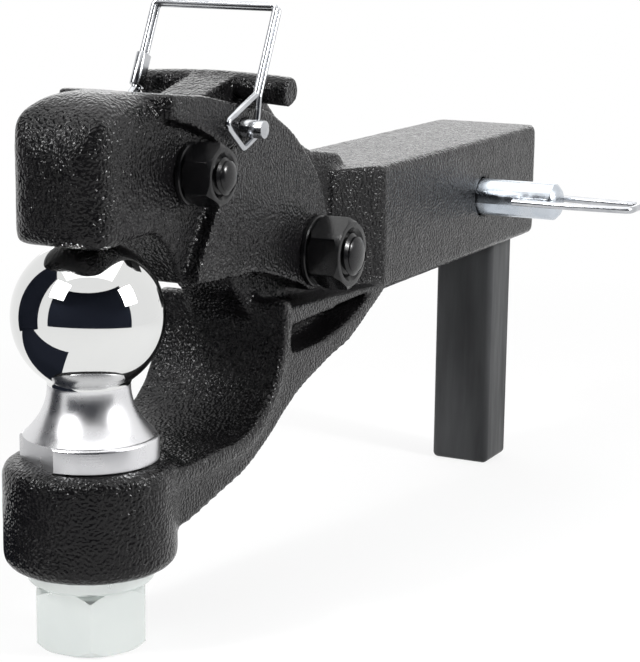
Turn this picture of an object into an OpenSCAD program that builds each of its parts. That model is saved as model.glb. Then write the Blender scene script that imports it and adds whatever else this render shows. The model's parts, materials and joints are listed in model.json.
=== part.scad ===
// Combination pintle hook: a hook and a hitch ball on one receiver shank.
// Millimetres. +Z is up, +X points from the ball towards the vehicle.
// The origin is the centre of the hitch pin hole, on the shank's centre line.

/* [Receiver shank] */
// Width and height of the square shank
shank_w = 50.8; // [44:0.1:58]
// Shank length behind the hitch pin hole
shank_back = 65; // [50:1:90]
// Shank length from the hitch pin hole to where its sides narrow
shank_front = 104; // [95:1:125]
// Length of the narrowing between the shank and the jaw root
taper_l = 24; // [16:1:28]
// Rounding of the shank's long edges
shank_edge_r = 3; // [1:0.5:6]

/* [Hitch pin] */
// Diameter of the hitch pin
hitch_pin_d = 15.9; // [14:0.1:18]
// Gap between the hitch pin and its hole, on the radius
hitch_pin_gap = 0.4; // [0.3:0.05:0.8]
// How far the pin's near end stands out of the shank
hitch_pin_out = 35.6; // [30:0.1:45]
// Length of the bent handle on the pin's far end
pin_handle_l = 52; // [35:1:70]
// Radius of the handle's bend, at the middle of the pin
pin_bend_r = 17; // [14:0.5:24]
// Distance of the clip's hole from the pin's near end
clip_hole_in = 6; // [5:0.5:9]
// Wire diameter of the clip
clip_wire_d = 3; // [2:0.1:3.6]
// Gap between the clip's wire and the pin, on the radius
clip_gap = 0.35; // [0.3:0.05:0.6]
// Length of the clip's loop beyond its hole
clip_loop_l = 40; // [30:1:55]

/* [Ball] */
// Diameter of the hitch ball
ball_d = 50.8; // [47.6:0.1:58.7]
// Diameter of the small flat on the ball's top
ball_flat_d = 10; // [6:0.5:16]
// Distance of the ball's axis ahead of the hitch pin
ball_reach = 280; // [272:1:292]
// Height of the ball's centre against the shank's centre line
ball_z = -6; // [-10:0.5:0]
// Diameter of the neck under the ball
neck_d = 27.5; // [24:0.5:32]
// Diameter of the collar that seats on the boss
collar_d = 46.3; // [40:0.1:52]
// Height of the collar
collar_h = 8.5; // [6:0.5:12]
// Height of the ball's centre above the seat
ball_rise = 48; // [44:0.5:56]
// Width across the two spanner flats on the collar
collar_flats = 39; // [36:0.5:45]
// Diameter of the threaded stem
stem_d = 25.4; // [19:0.1:28]
// Gap between the stem and its bore, on the radius
stem_gap = 0.25; // [0.1:0.05:0.5]
// Diameter of the boss that carries the ball
boss_d = 58; // [54:0.5:64]
// Height of the boss
boss_h = 36; // [30:0.5:42]
// Rounding of the boss's rims
boss_edge_r = 4.5; // [2:0.5:7]
// Outside diameter of the lock washer under the boss
ball_washer_d = 42; // [38:0.5:48]
// Thickness of the lock washer
ball_washer_t = 5.5; // [3:0.5:7]
// Width across the flats of the ball's nut
ball_nut_af = 36; // [33:0.1:41]
// Height of the ball's nut
ball_nut_h = 22; // [18:0.5:26]

/* [Horn] */
// Width of the horn across its rims
horn_w = 50.8; // [44:0.1:58]
// Width of the horn's throat face
throat_w = 54; // [52:0.5:60]
// Thickness of the web between the side pockets
web_t = 24; // [16:0.5:30]
// Radius of the throat
throat_r = 36; // [33:0.5:38]
// Distance of the throat's centre ahead of the hitch pin
throat_reach = 228; // [225:0.5:232]
// Height of the throat's centre
throat_z = -22; // [-24:0.5:-20]
// Thickness of the throat's flange ahead of the side pocket
throat_flange_t = 9; // [6:0.5:12]
// Depth of the arm below the throat
horn_depth = 20.5; // [17:0.5:24]

/* [Jaw] */
// Distance of the jaw's pivot ahead of the hitch pin
jaw_pivot_reach = 158; // [154:0.5:162]
// Height of the jaw's pivot
jaw_pivot_z = -1; // [-3:0.5:1]
// Diameter of the jaw's pivot bolt
jaw_bolt_d = 15.9; // [14:0.1:17]
// Radius of the rounded end of the cheeks round the pivot
jaw_end_r = 15; // [14:0.5:16]
// Width over the two cheeks
cheek_w = 44; // [42:0.5:48]
// Thickness of the fin that the cheeks straddle
fin_t = 24; // [18:0.5:26]
// Side gap between the fin, or the latch, and each cheek
cheek_gap = 0.6; // [0.4:0.1:1]
// Width of the jaw's nose
nose_w = 36; // [32:0.5:40]
// Height of the nose
nose_h = 48.5; // [45:0.1:53]
// How far the nose reaches ahead of the ball's axis
nose_ahead = 23; // [18:0.5:26]
// Gap between the nose and the top of the ball
nose_gap = 0.6; // [0.4:0.1:2]
// How far the nose's lip hangs below the top of the ball
nose_lip = 1.5; // [0.5:0.1:3]
// Radius of the nose's two front corners, seen from above
nose_corner_r = 13; // [8:0.5:15]
// Rounding of the nose's bottom edges
nose_edge_r = 8; // [4:0.5:10]
// Rounding of the nose's top edges along its sides
nose_top_r = 13; // [8:0.5:15]
// Rounding of the nose's top front, in side view
nose_front_r = 24; // [14:0.5:28]
// Width over the hollows where the latch bolt's washers seat
waist_w = 34; // [31:0.5:36]

/* [Latch] */
// Distance of the latch's pivot ahead of the jaw's pivot
latch_pivot_ahead = 85; // [83:0.5:87]
// Height of the latch's pivot above the jaw's pivot
latch_pivot_rise = 38.5; // [37:0.5:40]
// Diameter of the latch's pivot bolt
latch_bolt_d = 12.7; // [11:0.1:13.5]
// Radius of the latch round its pivot
latch_boss_r = 13; // [12.5:0.5:13.5]
// Distance of the handle bar behind the latch's pivot
handle_behind = 49; // [47:0.5:51]
// Height of the handle bar above the latch's pivot
handle_rise = 25; // [24:0.5:27]
// Diameter of the handle bar
handle_d = 10.5; // [9:0.5:11]
// Length of the handle bar
handle_l = 59; // [54:0.5:66]
// Radius of the handle bar's arch
handle_arch_r = 400; // [250:10:600]
// Width of the stem that carries the handle bar
handle_stem_w = 18; // [14:0.5:22]
// Gap between the latch's tooth and the fin
tooth_gap = 0.5; // [0.3:0.1:1]
// Lift of the latch when the jaw is fully open, in degrees
latch_lift = 33; // [30:1:36]

/* [Lock pin] */
// Diameter of the lock pin
lock_pin_d = 6.35; // [5:0.05:7]
// Distance of the lock pin behind the latch's pivot
lock_behind = 28; // [27:0.5:29]
// Height of the lock pin above the latch's pivot
lock_rise = 12.8; // [12:0.1:13.5]
// How far the lock pin stands out of each cheek
lock_pin_out = 8.5; // [7:0.5:12]
// Diameter of the head on the lock pin's far end
lock_head_d = 9; // [8:0.5:10]
// Wire diameter of the bail
bail_wire_d = 2.2; // [1.8:0.1:2.6]
// Gap between each of the bail's legs and the cheek
bail_gap = 1.4; // [0.8:0.1:3]
// Length of the bail from the lock pin to its bar
bail_l = 45; // [40:0.5:52]
// Lean of the bail to the rear, in degrees
bail_lean = 26; // [20:1:30]
// Length of the ferrule that ties the bail's wire ends
ferrule_l = 12; // [8:0.5:14]

/* [Fasteners] */
// Width across the flats of the jaw's nut and bolt head
jaw_nut_af = 24; // [22:0.5:26]
// Height of the jaw's nut
jaw_nut_h = 13; // [11:0.5:15]
// Height of the jaw bolt's head
jaw_head_h = 10; // [8:0.5:12]
// Outside diameter of the jaw's washers
jaw_washer_d = 27; // [25:0.5:29]
// Width across the flats of the latch's nut and bolt head
latch_nut_af = 19; // [17:0.5:20]
// Height of the latch's nut
latch_nut_h = 11; // [9:0.5:12]
// Height of the latch bolt's head
latch_head_h = 8; // [6:0.5:10]
// Outside diameter of the latch's washers
latch_washer_d = 21.5; // [20:0.5:23]
// Thickness of the jaw's and latch's washers
washer_t = 2; // [1.5:0.1:3]
// Length of bolt that stands out of its nut
bolt_out = 3.5; // [1:0.5:5]
// Wall of the sleeves on the pivot bolts
sleeve_wall = 2; // [1.5:0.1:2.5]
// Running gap of the sleeves and the lock pin, on the radius
running_gap = 0.08; // [0.03:0.01:0.1]
// Gap between a bolt, or a stem, and the pieces clamped on it, on the radius
bolt_gap = 0.05; // [0.02:0.01:0.2]
// Wire diameter of the latch's spring
spring_wire_d = 1.8; // [1.4:0.1:2]
// Turns of the latch's spring
spring_turns = 3; // [2:1:3]

/* [Support post] */
// Width of the post across the shank
post_w = 28; // [22:0.5:36]
// Thickness of the post along the shank
post_t = 25; // [18:0.5:30]
// Length of the post
post_l = 109; // [95:1:114]
// Distance of the post behind the hitch pin hole
post_back = 54; // [45:0.5:60]
// Rounding of the post's long edges
post_edge_r = 2; // [0.5:0.5:4]
// Gap between the post and the shank
post_gap = 0.3; // [0.2:0.1:0.5]

/* [Hidden] */
$fn = 64;
far = 400;
arc_steps = 10;

cast_black = [0.10, 0.10, 0.11];
oxide_black = [0.06, 0.06, 0.07];
bright_chrome = [0.86, 0.87, 0.89];
pale_zinc = [0.78, 0.80, 0.82];
wire_zinc = [0.74, 0.75, 0.77];
mill_grey = [0.24, 0.25, 0.27];

// Side-view points are written as [x, z]
jaw_pivot = [-jaw_pivot_reach, jaw_pivot_z];
latch_pivot = jaw_pivot + [-latch_pivot_ahead, latch_pivot_rise];
lock_at = latch_pivot + [lock_behind, lock_rise];
handle_at = latch_pivot + [handle_behind, handle_rise];
throat_at = [-throat_reach, throat_z];
ball_x = -ball_reach;
seat_z = ball_z - ball_rise;
boss_bottom = seat_z - boss_h;
nut_top = boss_bottom - ball_washer_t;
nut_bottom = nut_top - ball_nut_h;
stem_short = 2;
cheek_in = fin_t / 2 + cheek_gap;
cheek_out = cheek_w / 2;
shank_half = shank_w / 2;

// The fin's nose that the latch bears on, and the sweep that clears it
fin_tip = jaw_pivot + [-26, 58];
fin_foot = jaw_pivot + [-47, 31];
fin_sweep_r = norm(fin_tip - jaw_pivot) + 1.5;
nose_bottom = ball_z + ball_d / 2 + nose_gap - nose_lip;
nose_top = nose_bottom + nose_h;
nose_front = ball_x - nose_ahead;
lock_pin_l = cheek_w + 2 * lock_pin_out;
bail_w = cheek_w + 2 * bail_gap + bail_wire_d;

// Outline helpers

function unit(v) = v / norm(v);
function flip(p) = [-p[1], p[0]];

// Centre of the circle through three points
function circle_centre(a, b, c) =
  let (u = b - a, w = c - a, k = 2 * (u[0] * w[1] - u[1] * w[0]))
  a + [w[1] * (u * u) - u[1] * (w * w), u[0] * (w * w) - w[0] * (u * u)] / k;

// Points of the arc from a through b to c
function arc_through(a, b, c) =
  let (
    m = circle_centre(a, b, c),
    r = norm(a - m),
    t0 = atan2(a[1] - m[1], a[0] - m[0]),
    tb = atan2(b[1] - m[1], b[0] - m[0]),
    tc = atan2(c[1] - m[1], c[0] - m[0]),
    left = ((tb - t0) % 360 + 360) % 360 < ((tc - t0) % 360 + 360) % 360,
    span = left ? ((tc - t0) % 360 + 360) % 360 : -(((t0 - tc) % 360 + 360) % 360)
  )
  [for (i = [0:arc_steps]) m + r * [cos(t0 + span * i / arc_steps), sin(t0 + span * i / arc_steps)]];

// Points of an arc about a centre
function arc(m, r, t0, t1) =
  let (step = (t1 - t0) / arc_steps)
  [for (i = [0:arc_steps]) m + r * [cos(t0 + step * i), sin(t0 + step * i)]];

// A route in space with its corners bent to a radius
function bent(pts, r) = [
  for (i = [0:len(pts) - 1])
    each (i == 0 || i == len(pts) - 1) ? [pts[i]] : bend(pts[i - 1], pts[i], pts[i + 1], r)
];
bend_steps = 5;
function bend(a, p, b, r) =
  let (
    u = unit(a - p),
    w = unit(b - p),
    open_a = acos(u * w),
    m = p + unit(u + w) * r / sin(open_a / 2),
    s = p + u * r / tan(open_a / 2) - m,
    e = p + w * r / tan(open_a / 2) - m,
    side = unit(e - (e * s) / (s * s) * s) * r,
    step = (180 - open_a) / bend_steps
  )
  [for (i = [0:bend_steps]) m + s * cos(step * i) + side * sin(step * i)];

// Direction of a route at each of its points
function headings(pts) = [
  for (i = [0:len(pts) - 1])
    unit(pts[min(i + 1, len(pts) - 1)] - pts[max(i - 1, 0)])
];
// A sideways direction carried along the route without twisting
function side_of(t) = unit(cross(t, abs(t[2]) < 0.8 ? [0, 0, 1] : [0, 1, 0]));
function carried(t) = [
  for (i = 0, n = side_of(t[0]); i < len(t); i = i + 1,
       n = i < len(t) ? unit(n - (n * t[i]) * t[i]) : n) n
];

// A round wire along a route
module wire(pts, d, sides = 10) {
  t = headings(pts);
  n = carried(t);
  last = len(pts) - 1;
  ring = [
    for (i = [0:last], k = [0:sides - 1])
      pts[i] + d / 2 * (cos(360 * k / sides) * n[i] + sin(360 * k / sides) * cross(t[i], n[i]))
  ];
  walls = [
    for (i = [0:last - 1], k = [0:sides - 1])
      [i * sides + k, (i + 1) * sides + k, (i + 1) * sides + (k + 1) % sides, i * sides + (k + 1) % sides]
  ];
  near_cap = [for (k = [0:sides - 1]) k];
  far_cap = [for (k = [sides - 1:-1:0]) last * sides + k];
  polyhedron(ring, concat(walls, [near_cap, far_cap]));
}

// A side-view outline drawn out to a width across the part
module across(w) {
  rotate([90, 0, 0])
    translate([0, 0, -w / 2])
      linear_extrude(w)
        children();
}

// A cylinder across the part, from one side place to another, at a side-view point
module cross_rod(p, d, y0, y1) {
  translate([p[0], y1, p[1]])
    rotate([90, 0, 0])
      cylinder(h = y1 - y0, d = d);
}

// A chamfered hexagon across the part, its corners up and down
module cross_hex(p, af, y0, y1, bore_d = 0) {
  hex_d = af / cos(30);
  cham = 0.08 * af;
  translate([p[0], y1, p[1]])
    rotate([90, 0, 0])
      difference() {
        intersection() {
          rotate(30)
            cylinder(h = y1 - y0, d = hex_d, $fn = 6);
          rotate_extrude()
            polygon([[0, 0], [af / 2, 0], [hex_d / 2 + 0.1, cham], [hex_d / 2 + 0.1, y1 - y0 - cham],
                     [af / 2, y1 - y0], [0, y1 - y0]]);
        }
        if (bore_d > 0)
          translate([0, 0, -1])
            cylinder(h = y1 - y0 + 2, d = bore_d);
      }
}

// A square with rounded corners, its middle at the origin
module round_square(w, h, r) {
  square([w - 2 * r, h], center = true);
  square([w, h - 2 * r], center = true);
  for (sx = [-1, 1], sy = [-1, 1])
    translate([sx * (w / 2 - r), sy * (h / 2 - r)])
      circle(r);
}

// Body casting

sleeve_jaw_d = jaw_bolt_d + 2 * bolt_gap + 2 * sleeve_wall;
sleeve_latch_d = latch_bolt_d + 2 * bolt_gap + 2 * sleeve_wall;
root_half = fin_t / 2 + 2;
arm_top = throat_z - throat_r;
arm_bottom = arm_top - horn_depth;
throat_lip_z = throat_z + 7;
ledge_z = jaw_pivot_z - jaw_end_r - 1.5;
pocket_x = throat_at[0] + throat_r + throat_flange_t;

// The square bar, narrowed towards the jaw's root
module shank_bar() {
  tip_x = -shank_front - taper_l;
  end_cut = 2;
  intersection() {
    translate([tip_x, 0, 0])
      rotate([90, 0, 90])
        linear_extrude(shank_back - tip_x)
          round_square(shank_w, shank_w, shank_edge_r);
    linear_extrude(2 * shank_w, center = true)
      polygon([
        [shank_back, -shank_half + end_cut], [shank_back - end_cut, -shank_half], [-shank_front, -shank_half],
        [tip_x, -root_half], [tip_x, root_half],
        [-shank_front, shank_half], [shank_back - end_cut, shank_half], [shank_back, shank_half - end_cut]
      ]);
  }
}

// The upright fin between the cheeks, in side view
module fin_outline() {
  polygon(concat(
    [[-shank_front, -shank_half + shank_edge_r], [-shank_front, shank_half - shank_edge_r],
     [-shank_front - 8, shank_half], [-shank_front - 14, shank_half + 5.5]],
    arc_through(jaw_pivot + [16, 35.4], jaw_pivot + [-6, 46], fin_tip + [4, 0.6]),
    [fin_tip, fin_foot, jaw_pivot + [-48, 3], jaw_pivot + [-46, -8],
     throat_at + [throat_r - 5, throat_lip_z - throat_z], throat_at + [throat_r, 0]]
  ));
}

// The horn in side view: throat, arm and rear rim
module horn_outline() {
  difference() {
    polygon(concat(
      [throat_at + [-2, -throat_r + 0.3], [ball_x, arm_top + 0.3], [ball_x, arm_bottom],
       [ball_x + 22, arm_bottom]],
      arc_through(throat_at + [8, -49], throat_at + [23, -43], throat_at + [38, -34.6]),
      arc_through(throat_at + [48, -29.5], throat_at + [68, -23.2], [-shank_front - 30, -shank_half - 13.9]),
      [[-shank_front - 26, -shank_half - 12], [-shank_front, -shank_half],
       [-shank_front + 6, -shank_half + 4], [-shank_front - 8, ledge_z - 4], [pocket_x, ledge_z],
       [throat_at[0] + throat_r, throat_lip_z], throat_at + [throat_r - 3, throat_lip_z - throat_z]]
    ));
    translate(throat_at)
      circle(throat_r);
  }
}

// The wider face of the throat, in side view
module throat_band() {
  lip = asin((throat_lip_z - throat_z) / throat_r);
  intersection() {
    translate(throat_at)
      difference() {
        circle(throat_r + throat_flange_t * 0.7);
        circle(throat_r);
      }
    translate(throat_at)
      polygon(concat([[0, 0]], arc([0, 0], 2 * throat_r, -92, lip)));
  }
  translate([ball_x, arm_top - throat_flange_t * 0.7])
    square([throat_at[0] - ball_x, throat_flange_t * 0.7]);
}

// The recess on each side of the horn, in side view
module pocket_outline() {
  tip = [-shank_front - 8, ledge_z - 5.8];
  low = [pocket_x, ledge_z - 17];
  polygon(concat([[pocket_x, ledge_z - 7.5]], arc_through(low, (low + tip) / 2 + [-1, -5], tip)));
}

module boss_blank() {
  translate([ball_x, 0, seat_z - boss_h / 2])
    rotate_extrude()
      intersection() {
        round_square(boss_d, boss_h, boss_edge_r);
        translate([0, -boss_h])
          square([boss_d, 2 * boss_h]);
      }
}

module hitch_body() {
  color(cast_black)
    difference() {
      union() {
        shank_bar();
        across(fin_t)
          fin_outline();
        difference() {
          across(horn_w)
            horn_outline();
          for (side = [-1, 1])
            translate([0, side * (web_t + horn_w) / 2, 0])
              across(horn_w)
                pocket_outline();
        }
        across(throat_w)
          throat_band();
        boss_blank();
      }
      translate([ball_x, 0, boss_bottom - 1])
        cylinder(h = boss_h + 2, d = stem_d + 2 * stem_gap);
      cross_rod([0, 0], hitch_pin_d + 2 * hitch_pin_gap, -shank_w, shank_w);
      cross_rod(jaw_pivot, sleeve_jaw_d + 2 * running_gap, -horn_w, horn_w);
    }
}

// Ball, lock washer and nut

module hitch_ball() {
  neck_r = neck_d / 2;
  neck_top = ball_z - sqrt(pow(ball_d / 2, 2) - neck_r * neck_r);
  collar_top = seat_z + collar_h;
  stem_end = nut_bottom + stem_short;
  flats_facing = 150;
  flat_over = 0.7;
  flat_rise = sqrt(pow(ball_d, 2) - pow(ball_flat_d, 2)) / 2;
  color(bright_chrome)
    difference() {
      translate([ball_x, 0, 0])
        union() {
          translate([0, 0, ball_z])
            sphere(d = ball_d);
          rotate_extrude()
            polygon(concat(
              [[0, ball_z], [neck_r, ball_z - ball_d / 6]],
              arc_through([neck_r, neck_top - 1], [neck_r + 1.7, (neck_top + collar_top) / 2],
                          [collar_d / 2 - 1.5, collar_top]),
              [[collar_d / 2, collar_top - 1.2], [collar_d / 2, seat_z], [stem_d / 2, seat_z],
               [stem_d / 2, stem_end + 1.5], [stem_d / 2 - 1.5, stem_end], [0, stem_end]]
            ));
        }
      translate([ball_x, 0, ball_z + flat_rise])
        cylinder(h = ball_d, d = ball_d);
      for (side = [0, 180])
        translate([ball_x, 0, seat_z - 1])
          rotate(flats_facing + side)
            translate([collar_flats / 2, -collar_d, 0])
              cube([collar_d, 2 * collar_d, collar_h + flat_over + 1]);
    }
}

module ball_lock_washer() {
  slit = 2.5;
  color(pale_zinc)
    translate([ball_x, 0, nut_top])
      difference() {
        cylinder(h = ball_washer_t, d = ball_washer_d);
        translate([0, 0, -1])
          cylinder(h = ball_washer_t + 2, d = stem_d + 2 * stem_gap);
        rotate([0, 0, 40])
          translate([0, -slit / 2, -1])
            cube([ball_washer_d, slit, ball_washer_t + 2]);
      }
}

module ball_nut() {
  hex_d = ball_nut_af / cos(30);
  cham = 2;
  facing = 212;
  color(pale_zinc)
    translate([ball_x, 0, nut_bottom])
      difference() {
        intersection() {
          rotate(facing)
            cylinder(h = ball_nut_h, d = hex_d, $fn = 6);
          rotate_extrude()
            polygon([[0, 0], [ball_nut_af / 2, 0], [hex_d / 2 + 0.1, cham],
                     [hex_d / 2 + 0.1, ball_nut_h - cham], [ball_nut_af / 2, ball_nut_h], [0, ball_nut_h]]);
        }
        translate([0, 0, -1])
          cylinder(h = ball_nut_h + 2, d = stem_d + 2 * bolt_gap);
      }
}

// Upper jaw

jaw_tip = jaw_pivot + [-90, 1.5];
tooth_slope = unit(fin_tip - fin_foot);
tooth_out = flip(tooth_slope);
latch_clear = 0.7;

// The jaw in side view
module jaw_outline() {
  under = [(ball_x + 14 + jaw_tip[0]) / 2 + 2.5, nose_bottom + nose_lip - 8];
  polygon(concat(
    arc([nose_front + nose_front_r, nose_top - nose_front_r], nose_front_r, 90, 180),
    arc([nose_front + nose_edge_r, nose_bottom + nose_edge_r], nose_edge_r, 180, 270),
    arc_through([ball_x + 14, nose_bottom + nose_lip], under, jaw_tip),
    arc_through(jaw_pivot + [-45, -1], jaw_pivot + [-22, -7.5], jaw_pivot + jaw_end_r * [cos(130), -sin(130)]),
    arc(jaw_pivot, jaw_end_r, -125, 45),
    arc_through(jaw_pivot + [5, 24], jaw_pivot + [-14.6, 43], jaw_pivot + [-43, 57]),
    [latch_pivot + [22, 22], latch_pivot + [2, 26], [ball_x + 20, nose_top - 1.5]]
  ));
}

// The nose in plan: rounded front corners and sides that draw in to the waist
module nose_plan() {
  half = nose_w / 2;
  side_end = nose_front + nose_corner_r + 3;
  polygon(concat(
    arc([nose_front + nose_corner_r, half - nose_corner_r], nose_corner_r, 180, 90),
    [[side_end, half], [ball_x + 22, waist_w / 2], [latch_pivot[0] + latch_boss_r, waist_w / 2],
     [latch_pivot[0] + latch_boss_r, -waist_w / 2], [ball_x + 22, -waist_w / 2], [side_end, -half]],
    arc([nose_front + nose_corner_r, nose_corner_r - half], nose_corner_r, 270, 180)
  ));
}

// The nose seen from the front
module nose_section() {
  half = nose_w / 2;
  low = jaw_tip[1];
  polygon(concat(
    arc([half - nose_top_r, nose_top - nose_top_r], nose_top_r, 0, 90),
    arc([nose_top_r - half, nose_top - nose_top_r], nose_top_r, 90, 180),
    arc([nose_edge_r - half, low + nose_edge_r], nose_edge_r, 180, 270),
    arc([half - nose_edge_r, low + nose_edge_r], nose_edge_r, 270, 360)
  ));
}

// The hollow on each side where the latch's washer seats, in side view
module waist_outline() {
  polygon(concat(
    [[ball_x + 10, nose_top - 8], latch_pivot + [-5, 16.2]],
    arc_through(latch_pivot + [9, 11], latch_pivot + [15.5, 0], latch_pivot + [9, -14.5]),
    [jaw_tip + [2, 4.5], jaw_tip + [-1, -6], [ball_x + 10, jaw_tip[1] - 6]]
  ));
}

// The slot between the cheeks for the fin and the latch, in side view
module cheek_slot_outline() {
  reach = latch_boss_r + latch_clear;
  translate(jaw_pivot)
    circle(fin_sweep_r);
  translate(latch_pivot)
    circle(reach);
  polygon([
    latch_pivot + [-reach, 0], latch_pivot + [-reach, nose_h], jaw_pivot + [60, 110],
    jaw_pivot + [60, -40], jaw_pivot + [-40, -40], jaw_pivot + [-60, 20], latch_pivot + [0, -reach]
  ]);
}

module upper_jaw() {
  color(cast_black)
    difference() {
      union() {
        intersection() {
          across(nose_w)
            jaw_outline();
          linear_extrude(far, center = true)
            nose_plan();
          translate([-far, 0, 0])
            rotate([90, 0, 90])
              linear_extrude(far)
                nose_section();
        }
        difference() {
          across(cheek_w)
            intersection() {
              jaw_outline();
              translate([ball_x + 16, -far / 2])
                square([far, far]);
            }
          for (side = [-1, 1])
            translate([0, side * (waist_w + cheek_w) / 2, 0])
              across(cheek_w)
                waist_outline();
        }
      }
      translate([ball_x, 0, ball_z])
        rotate([90, 0, 0])
          sphere(d = ball_d + 2 * nose_gap);
      across(2 * cheek_in)
        cheek_slot_outline();
      cross_rod(jaw_pivot, jaw_bolt_d + 2 * bolt_gap, -nose_w, nose_w);
      cross_rod(latch_pivot, latch_bolt_d + 2 * bolt_gap, -nose_w, nose_w);
      cross_rod(lock_at, lock_pin_d + 2 * running_gap, -nose_w, nose_w);
    }
}

// Sleeves, bolts, washers and nuts of the two pivots

module sleeve(p, outer_d, inner_d) {
  difference() {
    cross_rod(p, outer_d, -cheek_in, cheek_in);
    cross_rod(p, inner_d, -cheek_in - 1, cheek_in + 1);
  }
}

module bolt(p, d, af, head_h, seat, nut_h) {
  near_end = -seat - washer_t - nut_h - bolt_out;
  head_at = seat + washer_t;
  cham = d / 8;
  cross_hex(p, af, head_at, head_at + head_h);
  cross_rod(p, d, near_end + cham, head_at + 1);
  translate([p[0], near_end + cham, p[1]])
    rotate([90, 0, 0])
      cylinder(h = cham, d1 = d, d2 = d - 2 * cham);
}

module washer_pair(p, outer_d, inner_d, seat) {
  for (side = [-1, 1])
    translate([0, side * (seat + washer_t / 2), 0])
      difference() {
        cross_rod(p, outer_d, -washer_t / 2, washer_t / 2);
        cross_rod(p, inner_d, -washer_t, washer_t);
      }
}

module jaw_pivot_sleeve() {
  color(pale_zinc)
    sleeve(jaw_pivot, sleeve_jaw_d, jaw_bolt_d + 2 * bolt_gap);
}

module jaw_pivot_bolt() {
  color(oxide_black)
    bolt(jaw_pivot, jaw_bolt_d, jaw_nut_af, jaw_head_h, cheek_out, jaw_nut_h);
}

module jaw_pivot_washers() {
  color(oxide_black)
    washer_pair(jaw_pivot, jaw_washer_d, jaw_bolt_d + 2 * bolt_gap, cheek_out);
}

module jaw_pivot_nut() {
  seat = -cheek_out - washer_t;
  color(oxide_black)
    cross_hex(jaw_pivot, jaw_nut_af, seat - jaw_nut_h, seat, jaw_bolt_d + 2 * bolt_gap);
}

module latch_pivot_sleeve() {
  color(pale_zinc)
    sleeve(latch_pivot, sleeve_latch_d, latch_bolt_d + 2 * bolt_gap);
}

module latch_pivot_bolt() {
  color(oxide_black)
    bolt(latch_pivot, latch_bolt_d, latch_nut_af, latch_head_h, waist_w / 2, latch_nut_h);
}

module latch_pivot_washers() {
  color(oxide_black)
    washer_pair(latch_pivot, latch_washer_d, latch_bolt_d + 2 * bolt_gap, waist_w / 2);
}

module latch_pivot_nut() {
  seat = -waist_w / 2 - washer_t;
  color(oxide_black)
    cross_hex(latch_pivot, latch_nut_af, seat - latch_nut_h, seat, latch_bolt_d + 2 * bolt_gap);
}

// Latch lever with its handle bar, and its spring

lock_angle = atan2(lock_rise, lock_behind);
lock_radius = norm([lock_behind, lock_rise]);
lock_slot_d = lock_pin_d + 1;
spring_side = 3.5;

module latch_outline() {
  face_top = fin_tip + tooth_gap * tooth_out - 6 * tooth_slope;
  face_foot = fin_foot + tooth_gap * tooth_out + 5 * tooth_slope;
  translate(latch_pivot)
    circle(latch_boss_r);
  polygon([
    latch_pivot + [0, latch_boss_r], latch_pivot + [27, 20.5], handle_at + [-4, -5],
    face_top, face_foot, latch_pivot + [29, -11.5], latch_pivot + [0, -latch_boss_r]
  ]);
}

// The neck that rises between the cheeks to the handle bar
module latch_neck_outline() {
  polygon([
    latch_pivot + [6, 12], latch_pivot + [20, 23], handle_at + [-3, handle_d / 2 - 1],
    handle_at + [handle_d / 2 - 1, 0], handle_at + [2, -handle_d / 2 + 0.6], latch_pivot + [40, 12]
  ]);
}

// The way the lock pin takes past the latch as the latch lifts
module lock_slot_outline() {
  low = lock_angle - latch_lift - 2;
  half = lock_slot_d / 2;
  translate(latch_pivot)
    polygon(concat(
      arc([0, 0], lock_radius + half, low, lock_angle),
      arc(lock_radius * [cos(lock_angle), sin(lock_angle)], half, lock_angle + 12, lock_angle + 168),
      arc([0, 0], lock_radius - half, lock_angle, low),
      arc(lock_radius * [cos(low), sin(low)], half, low - 168, low - 12)
    ));
}

module latch_lever() {
  arch = 2 * asin(handle_l / 2 / handle_arch_r);
  color(cast_black)
    difference() {
      union() {
        across(fin_t)
          latch_outline();
        across(handle_stem_w)
          latch_neck_outline();
        translate([handle_at[0], 0, handle_at[1] - handle_arch_r])
          rotate([0, -90, 0])
            rotate(-arch / 2)
              rotate_extrude(angle = arch)
                translate([handle_arch_r, 0])
                  circle(d = handle_d);
      }
      across(2 * fin_t)
        lock_slot_outline();
      cross_rod(latch_pivot, sleeve_latch_d + 2 * running_gap, -fin_t, fin_t);
      cross_rod(latch_pivot, 2 * latch_boss_r + 0.8, spring_side, fin_t);
    }
}

// A coil round the latch's sleeve, in the gap beside the latch
module latch_spring() {
  coil_r = (sleeve_latch_d / 2 + latch_boss_r) / 2;
  first = spring_side + spring_wire_d / 2 + 0.6;
  last = cheek_in - spring_wire_d / 2 - 0.3;
  steps = 18;
  count = spring_turns * steps;
  color(wire_zinc)
    wire([
      for (i = [0:count])
        [latch_pivot[0] + coil_r * cos(360 * i / steps), first + (last - first) * i / count,
         latch_pivot[1] + coil_r * sin(360 * i / steps)]
    ], spring_wire_d, 8);
}

// Lock pin, its bail and the ferrule on the bail

strand = bail_wire_d / 2 + 0.15;
ferrule_at = 13;

// A frame on the lock pin's axis, its Z along the bail
module at_bail() {
  translate([lock_at[0], 0, lock_at[1]])
    rotate([0, bail_lean, 0])
      children();
}

module lock_pin() {
  half = lock_pin_l / 2;
  cham = 0.6;
  head_t = 2.5;
  color(wire_zinc)
    translate([lock_at[0], 0, lock_at[1]])
      rotate([-90, 0, 0])
        rotate_extrude()
          polygon([[0, -half], [lock_pin_d / 2 - cham, -half], [lock_pin_d / 2, -half + cham],
                   [lock_pin_d / 2, half], [lock_head_d / 2, half], [lock_head_d / 2, half + head_t - cham],
                   [lock_head_d / 2 - cham, half + head_t], [0, half + head_t]]);
}

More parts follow.
